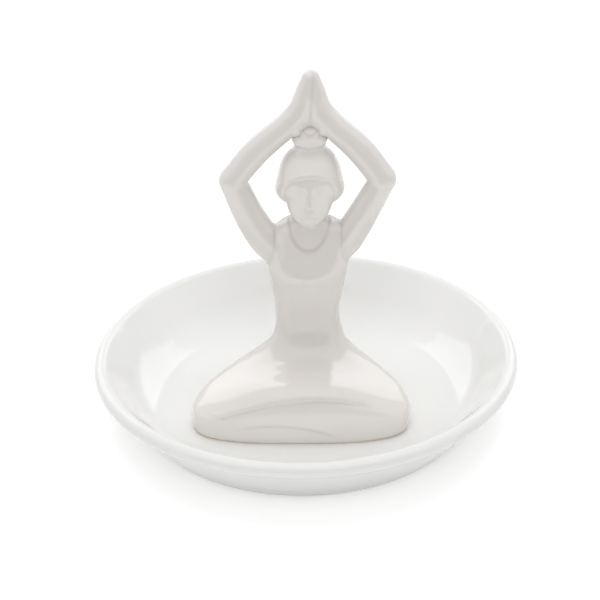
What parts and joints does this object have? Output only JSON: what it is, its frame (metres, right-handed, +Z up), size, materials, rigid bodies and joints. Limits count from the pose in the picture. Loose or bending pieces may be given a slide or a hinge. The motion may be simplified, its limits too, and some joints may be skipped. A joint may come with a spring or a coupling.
{
  "type": "ring holder",
  "caption": "Porcelain ring holder: a seated figure with palms joined overhead takes rings over its hands and stands bonded in a round dish for small jewellery.",
  "frame": {"origin": "centre of the dish's foot, on the table", "axes": "+Z up, the figure faces -Y, +X to the right of someone looking at its face"},
  "size_m": [0.125, 0.125, 0.1077],
  "materials": {
    "dish_porcelain": "clear gloss glaze over white porcelain",
    "figure_porcelain": "clear gloss glaze over warm white porcelain",
    "adhesive": "thin set line of warm brown adhesive"
  },
  "bodies": {
    "root": {"dish": "dish_porcelain", "base_bond": "adhesive", "body": "figure_porcelain", "head": "figure_porcelain", "topknot": "figure_porcelain", "left_arm": "figure_porcelain", "right_arm": "figure_porcelain"}
  },
  "joints": []
}
